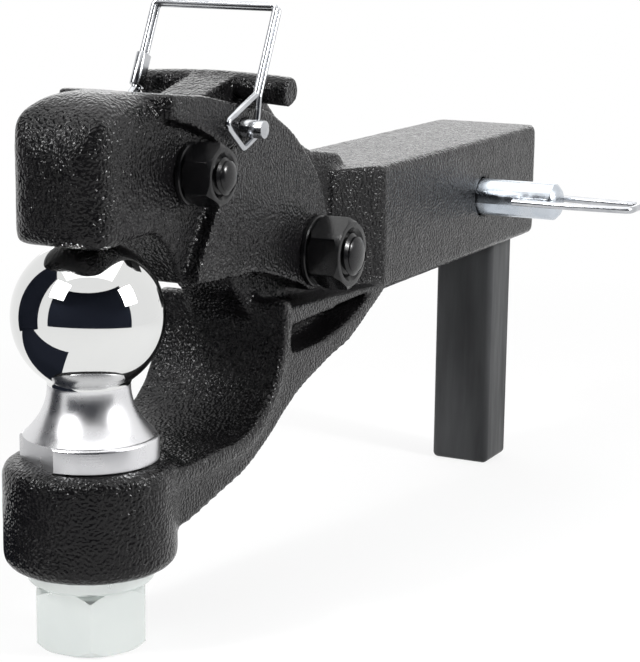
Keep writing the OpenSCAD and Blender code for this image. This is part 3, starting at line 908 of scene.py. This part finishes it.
    def _nut(self) -> None:
        """Makes the nut, with a bore that is countersunk at both ends."""
        centre = (self.x, 0, 0)
        low, high = self.nut_bottom, self.nut_top
        turn = math.radians(self.nut_facing) - QUARTER
        nut = hexagon("ball_hex_nut", self.nut_af, low, high, centre, Axis.UP, turn)
        bore_r = self.stem_r + self.nut_room
        mouth_r = bore_r + self.nut_spread
        bore = turned(
            "nut_bore",
            [
                (0, low - MM), (mouth_r, low - MM), (mouth_r, low),
                (bore_r, low + self.nut_spread), (bore_r, high - self.nut_spread),
                (mouth_r, high), (mouth_r, high + MM), (0, high + MM),
            ],
            centre, Axis.UP,
        )
        carve(nut, bore)
        soften(nut, HEX_EDGE)
        dress(nut, PALE_ZINC, "body", "ball_nut")


@dataclass
class PivotSet:
    """A pivot's bolt with its two washers and its nut.

    The name starts its nodes' names, seat is how far the washers' seats lie from the
    middle, and bolt_out how far the bolt stands out of its nut. Lengths that end in
    _r are radii, in _t thicknesses and in _h heights.
    """

    name: str
    x: float
    z: float
    bolt_r: float
    across_flats: float
    seat: float
    washer_r: float
    nut_h: float
    head_h: float
    pitch: float
    washer_t: float = 2 * MM
    washer_ease: float = 0.4 * MM
    bolt_out: float = 3.5 * MM
    nut_room: float = 0.1 * MM
    dome: float = 1.6 * MM
    overlap: float = 0.5 * MM
    thread_in: float = 0.04 * MM

    def build(self) -> None:
        """Makes the washers, the nut and the bolt."""
        self._washers()
        self._nut()
        self._bolt()

    @property
    def centre(self) -> Place:
        """The middle of the pivot's axis."""
        return (self.x, 0, self.z)

    def _washers(self) -> None:
        """Turns the two washers, with their rims eased."""
        ease = self.washer_ease
        made = []
        for side in (-1, 1):
            near, away = side * self.seat, side * (self.seat + self.washer_t)
            section = [
                (self.bolt_r, near), (self.washer_r - ease, near),
                (self.washer_r, near + side * ease), (self.washer_r, away - side * ease),
                (self.washer_r - ease, away), (self.bolt_r, away), (self.bolt_r, near),
            ]
            made.append(turned("washer", section, self.centre, Axis.ACROSS))
        pair = join(f"{self.name}_flat_washers", made)
        soften(pair)
        dress(pair, OXIDE_BLACK, "jaw", f"{self.name}_washers")

    def _nut(self) -> None:
        """Makes the nut on the near side, with a countersunk bore."""
        high = -self.seat - self.washer_t
        low = high - self.nut_h
        nut = hexagon(
            f"{self.name}_hex_nut", self.across_flats, low, high, self.centre, Axis.ACROSS
        )
        spread = COUNTERSINK * self.across_flats
        bore_r, mouth_r = self.bolt_r + self.nut_room, self.bolt_r + spread
        bore = turned(
            "nut_bore",
            [
                (0, low - MM), (mouth_r, low - MM), (mouth_r, low), (bore_r, low + spread),
                (bore_r, high + MM), (0, high + MM),
            ],
            self.centre, Axis.ACROSS,
        )
        carve(nut, bore)
        soften(nut, HEX_EDGE)
        dress(nut, OXIDE_BLACK, "jaw", f"{self.name}_nut")

    def _bolt(self) -> None:
        """Makes the bolt: a hexagonal head, a shank and a threaded end."""
        head_low = self.seat + self.washer_t
        end = -self.seat - self.washer_t - self.nut_h - self.bolt_out
        core = self.bolt_r - THREAD_DEPTH * self.pitch
        head = hexagon(
            f"{self.name}_head", self.across_flats, head_low, head_low + self.head_h,
            self.centre, Axis.ACROSS,
        )
        soften(head, HEX_EDGE)
        thread_low = end + self.dome
        turns = max(2, round((self.nut_h + self.bolt_out) / self.pitch) - 2)
        thread_high = thread_low + turns * self.pitch
        shank = turned(
            f"{self.name}_shank",
            [
                *((r * core, end + h * self.dome) for r, h in BOLT_DOME), (core, thread_high),
                (self.bolt_r, thread_high + self.pitch / 2),
                (self.bolt_r, head_low + self.overlap), (0, head_low + self.overlap),
            ],
            self.centre, Axis.ACROSS,
        )
        soften(shank, RING_EDGE)
        # The ridge runs out into the dome
        thread = screw_thread(
            f"{self.name}_thread", self.bolt_r - self.thread_in, self.pitch,
            thread_low - 0.3 * self.pitch, turns, self.centre,
        )
        bolt = join(f"{self.name}_hex_bolt", [head, shank, thread])
        dress(bolt, OXIDE_BLACK, "jaw", f"{self.name}_bolt")


@dataclass
class LockPinSet:
    """The lock pin, its wire bail and the ferrule that ties the wire.

    The lean, about the pin, is in degrees.
    """

    x: float = -215 * MM
    z: float = 50.3 * MM
    pin_r: float = 3.175 * MM
    pin_l: float = 61 * MM
    pin_ease: float = 0.6 * MM
    pin_steps: int = 64
    head_r: float = 4.5 * MM
    head_t: float = 2.5 * MM
    wire_r: float = 1.1 * MM
    wire_gap: float = 0.15 * MM
    bend_r: float = 1.6 * MM
    end_gap: float = 0.3 * MM
    width: float = 49 * MM
    length: float = 45 * MM
    lean: float = 26.0
    ferrule_at: float = 13 * MM
    ferrule_l: float = 12 * MM
    ferrule_wall: float = 0.9 * MM
    ferrule_ease: float = 0.35 * MM
    ferrule_sides: int = 40

    @property
    def strand(self) -> float:
        """How far each strand of the doubled wire lies from the middle."""
        return self.wire_r + self.wire_gap

    @property
    def ferrule_middle(self) -> float:
        """The height of the ferrule's middle along the bail."""
        return self.ferrule_at + self.ferrule_l / 2

    def build(self) -> None:
        """Makes the pin, the bail and the ferrule."""
        self._pin()
        self._bail()
        self._ferrule()

    def _in_place(self, piece: Piece) -> None:
        """Leans a piece that was made upright about the lock pin's axis.

        Args:
            piece: The piece, made with the pin's axis at the origin.
        """
        piece.location = (self.x, 0, self.z)
        piece.rotation_euler = (0, math.radians(self.lean), 0)
        settle(piece)

    def _pin(self) -> None:
        """Turns the pin with its eased near end and its head."""
        half, ease = self.pin_l / 2, self.pin_ease
        top = half + self.head_t
        profile = [
            (0, -half), (self.pin_r - ease, -half),
            (self.pin_r - 0.2 * ease, -half + 0.3 * ease), (self.pin_r, -half + ease),
            (self.pin_r, half), (self.head_r - 0.3 * ease, half),
            (self.head_r, half + 0.3 * ease), (self.head_r, top - ease),
            (self.head_r - 0.4 * ease, top - 0.3 * ease), (self.head_r - ease, top), (0, top),
        ]
        centre = (self.x, 0, self.z)
        pin = turned("lock_cross_pin", profile, centre, Axis.ACROSS, self.pin_steps)
        soften(pin, PIN_EDGE)
        dress(pin, WIRE_ZINC, "lock_pin", "lock_pin")

    def _bail(self) -> None:
        """Bends the doubled wire from its tie, round both eyes and back."""
        side, s = self.width / 2, self.strand
        room = self.pin_r + self.wire_r
        tie = self.ferrule_middle
        near_leg, far_leg = 12 * MM, self.ferrule_at - MM
        corners = [
            (-s, side, tie + self.end_gap),
            (-s, side, self.length),
            (-s, -side, self.length),
            # The near eye, which reaches from the pin's end towards the nose
            (-s, -side, near_leg),
            (-room - 12.7 * MM, -side, -4.5 * MM),
            (-1.5 * MM, -side, -room - 3.6 * MM),
            (room + 0.6 * MM, -side, -1.2 * MM),
            (s, -side, near_leg),
            (s, -side, self.length),
            (s, side, self.length),
            # The far eye, round the pin's head
            (s, side, far_leg),
            (room + 2.2 * MM, side, 2 * MM),
            (4 * MM, side, -room - 1.7 * MM),
            (-4 * MM, side, -room - 1.7 * MM),
            (-room - 2.2 * MM, side, 2 * MM),
            (-s, side, far_leg),
            (-s, side, tie - self.end_gap),
        ]
        bail = drawn_wire("wire_bail", bent_route(corners, self.bend_r), self.wire_r)
        self._in_place(bail)
        dress(bail, WIRE_ZINC, "bail", "lock_pin_bail")

    def _ferrule(self) -> None:
        """Makes the ferrule: a closed oval sleeve with eased edges."""
        clear_bench()
        bpy.ops.mesh.primitive_cylinder_add(
            vertices=self.ferrule_sides, radius=self.wire_r + self.ferrule_wall,
            depth=self.ferrule_l, location=(0, self.width / 2, self.ferrule_middle),
        )
        ferrule = added("wire_ferrule")
        for point in ferrule.data.vertices:
            if abs(point.co.x) > 0.1 * MM:
                point.co.x += math.copysign(self.strand, point.co.x)
        with editing():
            bpy.ops.mesh.select_all(action="SELECT")
            bpy.ops.mesh.bevel(
                offset=self.ferrule_ease, segments=2, affect="EDGES", clamp_overlap=True
            )
        self._in_place(ferrule)
        soften(ferrule, PIN_EDGE)
        dress(ferrule, WIRE_ZINC, "bail", "bail_ferrule")


@dataclass
class HitchPinSet:
    """The bent hitch pin and its spring clip."""

    pin_r: float = 7.95 * MM
    near: float = -61 * MM
    ease: float = 2.2 * MM
    turn_steps: int = 64
    bend_y: float = 30.4 * MM
    bend_r: float = 17 * MM
    bend_steps: int = 20
    handle_l: float = 52 * MM
    hole_sides: int = 32
    clip_r: float = 1.5 * MM
    clip_in: float = 6 * MM
    clip_gap: float = 0.35 * MM
    clip_loop: float = 40 * MM

    @property
    def hole_y(self) -> float:
        """Where the clip's hole crosses the pin."""
        return self.near + self.clip_in

    def build(self) -> None:
        """Makes the pin and the clip."""
        self._pin()
        self._clip()

    def _pin(self) -> None:
        """Draws the pin round its bend, then eases its ends and drills it."""
        ease = self.ease
        profile = [
            (0, self.near), (self.pin_r - ease - 0.5 * MM, self.near),
            (self.pin_r - ease, self.near + 0.15 * MM),
            (self.pin_r - 0.25 * MM, self.near + ease - 0.25 * MM),
            (self.pin_r, self.near + ease + 0.3 * MM), (self.pin_r, self.bend_y),
        ]
        pin = turned("bent_hitch_pin", profile, (0, 0, 0), Axis.ACROSS, self.turn_steps)
        soften(pin)
        slimmer = 1 - ease / self.pin_r
        with editing():
            bpy.ops.mesh.select_all(action="DESELECT")
            bpy.ops.mesh.select_non_manifold()
            bpy.ops.mesh.spin(
                steps=self.bend_steps, angle=QUARTER, center=(self.bend_r, self.bend_y, 0),
                axis=Axis.UP.value,
            )
            for reach in (self.handle_l - self.bend_r - ease, ease):
                bpy.ops.mesh.extrude_region_move(
                    TRANSFORM_OT_translate={"value": (reach, 0, 0)}
                )
            bpy.ops.transform.resize(value=(1.0, slimmer, slimmer))
            bpy.ops.mesh.edge_face_add()
        close_seams(pin)
        clear_bench()
        bpy.ops.mesh.primitive_cylinder_add(
            vertices=self.hole_sides, radius=self.clip_r + self.clip_gap, depth=4 * self.pin_r,
            location=(0, self.hole_y, 0), rotation=(0, QUARTER, 0),
        )
        carve(pin, added("clip_drill"))
        soften(pin)
        dress(pin, PIN_ZINC, "hitch_pin", "hitch_pin")

    def _clip(self) -> None:
        """Bends the clip from one length of wire."""
        hole_y = self.hole_y
        leg = self.pin_r + self.clip_r + self.clip_gap
        end = hole_y - self.clip_loop
        corners = [
            (-leg, hole_y + 12 * MM, 0), (-leg, hole_y - 14 * MM, 0), (-leg * 0.7, end, 0),
            (leg * 0.9, end, 0), (leg + 2 * MM, hole_y, 0), (2 * MM - leg, hole_y, 0),
        ]
        route = bent_route(corners, 2 * self.clip_r + 0.5 * MM)
        clip = drawn_wire("spring_clip", route, self.clip_r)
        dress(clip, WIRE_ZINC, "clip", "hitch_pin_clip")


@dataclass
class SupportPost:
    """The loose square bar that stands under the shank's end."""

    back: float = 54 * MM
    along: float = 25 * MM
    across: float = 28 * MM
    top: float = -25.7 * MM
    length: float = 109 * MM
    rolled: float = 2.6 * MM
    sawn: float = 0.35 * MM
    sawn_angle: float = 60.0

    def build(self) -> None:
        """Makes the bar with rolled edges and sawn ends."""
        clear_bench()
        bpy.ops.mesh.primitive_cube_add(
            size=1.0, location=(self.back, 0, self.top - self.length / 2)
        )
        post = added("prop_bar", (self.along, self.across, self.length))
        ease_edges(post, Axis.UP, self.rolled, segments=6)
        sawn = post.modifiers.new("sawn", "BEVEL")
        sawn.width = self.sawn
        sawn.segments = 2
        sawn.limit_method = "ANGLE"
        sawn.angle_limit = math.radians(self.sawn_angle)
        apply_all(post)
        soften(post)
        dress(post, MILL_GREY, "post", "support_post")


# Studio


@dataclass(frozen=True)
class PhotoCamera:
    """The camera, where the photograph was taken from.

    Angles are in degrees, the azimuth from +X towards +Y and the pitch downwards. The
    lens and the sensor are in millimetres.
    """

    place: Place = (-0.8260, -0.3552, 0.1289)
    azimuth: float = 26.37
    pitch: float = 12.14
    roll: float = -0.72
    lens: float = 110.12
    sensor: float = 36.0
    clip: Pair = (0.01, 50.0)

    def build(self) -> None:
        """Makes the camera and puts it in use."""
        az, down, roll = (math.radians(a) for a in (self.azimuth, self.pitch, self.roll))
        ahead = Vector(
            (math.cos(az) * math.cos(down), math.sin(az) * math.cos(down), -math.sin(down))
        )
        level = Vector((math.sin(az), -math.cos(az), 0))
        below = ahead.cross(level)
        right = math.cos(roll) * level + math.sin(roll) * below
        under = math.cos(roll) * below - math.sin(roll) * level
        turn = Matrix((right, -under, -ahead)).transposed().to_4x4()
        data = bpy.data.cameras.new("photo_camera")
        data.lens = self.lens
        data.sensor_width = self.sensor
        data.clip_start, data.clip_end = self.clip
        camera = bpy.data.objects.new("photo_camera", data)
        bpy.context.scene.collection.objects.link(camera)
        camera.matrix_world = Matrix.Translation(self.place) @ turn
        bpy.context.scene.camera = camera


@dataclass(frozen=True)
class Softbox:
    """One soft lamp, with its power in watts and the point that it faces."""

    name: str
    place: Place
    size: Pair
    power: float
    aim: Place = (-0.15, 0.0, 0.0)

    def build(self) -> None:
        """Makes the lamp."""
        data = bpy.data.lights.new(self.name, "AREA")
        data.shape = "RECTANGLE"
        data.size, data.size_y = self.size
        data.energy = self.power
        lamp = bpy.data.objects.new(self.name, data)
        lamp.visible_camera = False
        bpy.context.scene.collection.objects.link(lamp)
        lamp.location = self.place
        ahead = Vector(self.aim) - Vector(self.place)
        lamp.rotation_euler = ahead.to_track_quat("-Z", "Y").to_euler()


@dataclass(frozen=True)
class Cloth:
    """One flat dark cloth for the bright pieces to mirror.

    It is tilted from lying flat and turned about the vertical, in degrees, and shades
    says whether it also keeps light from the rest of the scene. One that does not is
    seen only in mirrors, as a painted reflection of shade.
    """

    name: str
    place: Place
    tilt: float
    turn: float
    size: Pair
    shades: bool

    def build(self) -> Piece:
        """Hangs or lays the cloth.

        Returns:
            The cloth.
        """
        clear_bench()
        bpy.ops.mesh.primitive_plane_add(
            size=1.0, location=self.place,
            rotation=(math.radians(self.tilt), 0, math.radians(self.turn)),
        )
        cloth = added(self.name, (*self.size, 1.0))
        cloth.visible_diffuse = self.shades
        cloth.visible_shadow = self.shades
        return cloth


LAMPS = (
    Softbox("left_softbox", (-0.98, 0.28, 0.66), (0.42, 0.42), 4.0),
    Softbox("left_bulb", (-0.91, 0.25, 0.6), (0.09, 0.09), 3.2),
    Softbox("right_softbox", (-0.1, -0.7, 0.376), (0.33, 0.33), 2.6),
    Softbox("right_bulb", (-0.115, -0.64, 0.344), (0.075, 0.075), 2.2),
    Softbox("top_softbox", (0.0, 0.1, 1.3), (1.7, 1.7), 10.0),
    Softbox("back_softbox", (1.0, 0.6, 0.45), (1.2, 0.6), 2.5),
)
CLOTHS = (
    Cloth("dark_flag", (-0.455, 0.34, 0.2), 90.0, 12.0, (0.31, 0.7), shades=True),
    # The mat shows only in mirrors, where it stands partly for the hook's own shadow on the
    # floor: a painted reflection of shade
    Cloth("mirrored_shadow_mat", (-0.402, 0.232, -0.1), 0.0, 22.3, (0.17, 0.44), shades=False),
)


@dataclass
class Studio:
    """The floor, the lamps, the dark cloths and the white surroundings. One of the cloths,
    the mat, stands for the hook's shadow as mirrors see it: a painted reflection of shade.

    The two rests are the lowest points of the nut and the post, along the part and in
    height. near_glow is how much of the floor's own white shows near the part, and
    glow_band holds the distances where it starts to grow and is full. The room is the
    dark wall behind the camera, given by the distance and height of its foot and top
    and, in degrees, the directions between which it stands.
    """

    nut_rest: Pair = (-298 * MM, -117.5 * MM)
    post_rest: Pair = (41.5 * MM, -134.7 * MM)
    floor_size: float = 8.0
    floor_gap: float = 0.1 * MM
    floor_grey: float = 0.9
    ambient: float = 0.35
    near_glow: float = 0.8
    glow_band: Pair = (0.25, 0.75)
    room_x: float = -0.28
    room_foot: Pair = (0.62, -0.14)
    room_top: Pair = (1.5, 1.45)
    room_turn: Pair = (153.0, 278.0)
    room_steps: int = 32
    # Colour of the dark wall and cloths, and of the mat's painted shadow
    cloth: Colour = (0.012, 0.014, 0.021)

    def build(self) -> None:
        """Makes the floor, the surroundings, the dark room and the lamps."""
        self._floor()
        self._surroundings()
        self._dark_room()
        for lamp in LAMPS:
            lamp.build()
        bpy.context.scene.view_settings.view_transform = "Standard"

    @staticmethod
    def _matt(name: str, colour: Colour, roughness: float) -> bpy.types.Material:
        """Makes a paint that mirrors nothing.

        Args:
            name: The material's name.
            colour: Its colour.
            roughness: Its roughness.

        Returns:
            The new material.
        """
        paint = bpy.data.materials.new(name)
        paint.use_nodes = True
        set_inputs(
            paint.node_tree.nodes["Principled BSDF"],
            {"Base Color": (*colour, 1.0), "Roughness": roughness, "Specular IOR Level": 0.0},
        )
        return paint

    def _floor(self) -> None:
        """Lays a pale floor against the nut and the post."""
        (x0, z0), (x1, z1) = self.nut_rest, self.post_rest
        clear_bench()
        bpy.ops.mesh.primitive_plane_add(
            size=self.floor_size, location=((x0 + x1) / 2, 0, (z0 + z1) / 2 - self.floor_gap),
            rotation=(0, math.atan2(z0 - z1, x1 - x0), 0),
        )
        floor = added("studio_floor")
        paint = self._matt("floor_white", (self.floor_grey,) * 3, self.floor_grey)
        tree = paint.node_tree
        far = add_node(tree, "ShaderNodeVectorMath", operation="LENGTH")
        place = add_node(tree, "ShaderNodeTexCoord")
        tree.links.new(place.outputs["Object"], far.inputs[0])
        clear = add_node(
            tree, "ShaderNodeMapRange",
            {
                "From Min": self.glow_band[0], "From Max": self.glow_band[1],
                "To Min": self.near_glow, "To Max": 1.0,
            },
        )
        tree.links.new(far.outputs["Value"], clear.inputs["Value"])
        share = add_node(tree, "ShaderNodeMath", operation="MULTIPLY")
        tree.links.new(self._seen(tree), share.inputs[0])
        tree.links.new(clear.outputs["Result"], share.inputs[1])
        self._blend(
            tree, share.outputs[0], tree.nodes["Principled BSDF"].outputs["BSDF"],
            add_node(tree, "ShaderNodeEmission").outputs["Emission"], "Material Output",
        )
        floor.data.materials.append(paint)

    def _dark_room(self) -> None:
        """Puts dark cloths behind the camera and to its left, for mirrors to see. The mat
        on the floor is a painted reflection of the hook's shadow.
        """
        start, end = self.room_turn
        wall = turned(
            "dark_wall", [self.room_foot, self.room_top], (0, 0, 0), Axis.UP, self.room_steps,
            math.radians(end - start),
        )
        wall.rotation_euler = (0, 0, math.radians(end))
        wall.location = (self.room_x, 0, 0)
        settle(wall)
        paint = self._matt("dark_cloth_and_shadow", self.cloth, 1.0)
        for cloth in (wall, *(cloth.build() for cloth in CLOTHS)):
            cloth.data.materials.append(paint)
            cloth.visible_camera = False

    @staticmethod
    def _seen(tree: Tree) -> Socket:
        """Tells whether a ray comes from the camera, a mirror or a glass.

        Args:
            tree: The node tree to add to.

        Returns:
            A value of 1 for such a ray, and 0 for any other.
        """
        path = add_node(tree, "ShaderNodeLightPath")
        seen = path.outputs["Is Camera Ray"]
        for kind in ("Is Glossy Ray", "Is Transmission Ray"):
            either = add_node(tree, "ShaderNodeMath", operation="MAXIMUM")
            tree.links.new(seen, either.inputs[0])
            tree.links.new(path.outputs[kind], either.inputs[1])
            seen = either.outputs[0]
        return seen

    @staticmethod
    def _blend(tree: Tree, share: Socket, plain: Socket, bright: Socket, end: str) -> None:
        """Mixes two shaders into a tree's last node.

        Args:
            tree: The node tree.
            share: The share of the bright shader.
            plain: The plain shader.
            bright: The bright shader.
            end: The name of the tree's last node.
        """
        mix = add_node(tree, "ShaderNodeMixShader")
        for source, socket in zip((share, plain, bright), mix.inputs):
            tree.links.new(source, socket)
        tree.links.new(mix.outputs["Shader"], tree.nodes[end].inputs["Surface"])

    def _surroundings(self) -> None:
        """Makes the world white to the eye and softer as a light."""
        world = bpy.data.worlds.new("studio_world")
        bpy.context.scene.world = world
        world.use_nodes = True
        tree = world.node_tree
        white = (1.0, 1.0, 1.0, 1.0)
        light = tree.nodes["Background"]
        set_inputs(light, {"Color": white, "Strength": self.ambient})
        sight = add_node(tree, "ShaderNodeBackground", {"Color": white, "Strength": 1.0})
        self._blend(
            tree, self._seen(tree), light.outputs["Background"], sight.outputs["Background"],
            "World Output",
        )


def corners(box: tuple[Vector, Vector]) -> list[list[float]]:
    """Writes a box's lowest and highest corner as plain numbers."""
    return [[float(v) for v in corner] for corner in box]


def main() -> None:
    """Builds the camera, the pieces and the studio, in that order."""
    logging.basicConfig(level=logging.INFO, format="%(name)s: %(message)s")
    for part in (
        PhotoCamera(),
        Casting("body_casting", "hitch_body", "body", voxel=1.15 * MM, rounding=7),
        Casting(
            "jaw_casting", "upper_jaw", "jaw", voxel=0.95 * MM, rounding=6,
            nose_fade=(-258 * MM, -270 * MM), nose_rounding=60,
        ),
        Casting("latch_casting", "latch_lever", "latch", voxel=0.75 * MM, rounding=5),
        BallSet(),
        PivotSet(
            "jaw_pivot", x=-158 * MM, z=-1 * MM, bolt_r=7.95 * MM, across_flats=24 * MM,
            seat=22 * MM, washer_r=13.5 * MM, nut_h=13 * MM, head_h=10 * MM, pitch=2.3 * MM,
        ),
        PivotSet(
            "latch_pivot", x=-243 * MM, z=37.5 * MM, bolt_r=6.35 * MM, across_flats=19 * MM,
            seat=17 * MM, washer_r=10.75 * MM, nut_h=11 * MM, head_h=8 * MM, pitch=1.95 * MM,
        ),
        LockPinSet(), HitchPinSet(), SupportPost(),
    ):
        part.build()
    for node, finish in (
        ("jaw_pivot_sleeve", PALE_ZINC), ("latch_pivot_sleeve", PALE_ZINC),
        ("latch_spring", WIRE_ZINC),
    ):
        coat(frame["nodes"][node], finish)
    Studio().build()


if __name__ == "__main__":
    main()
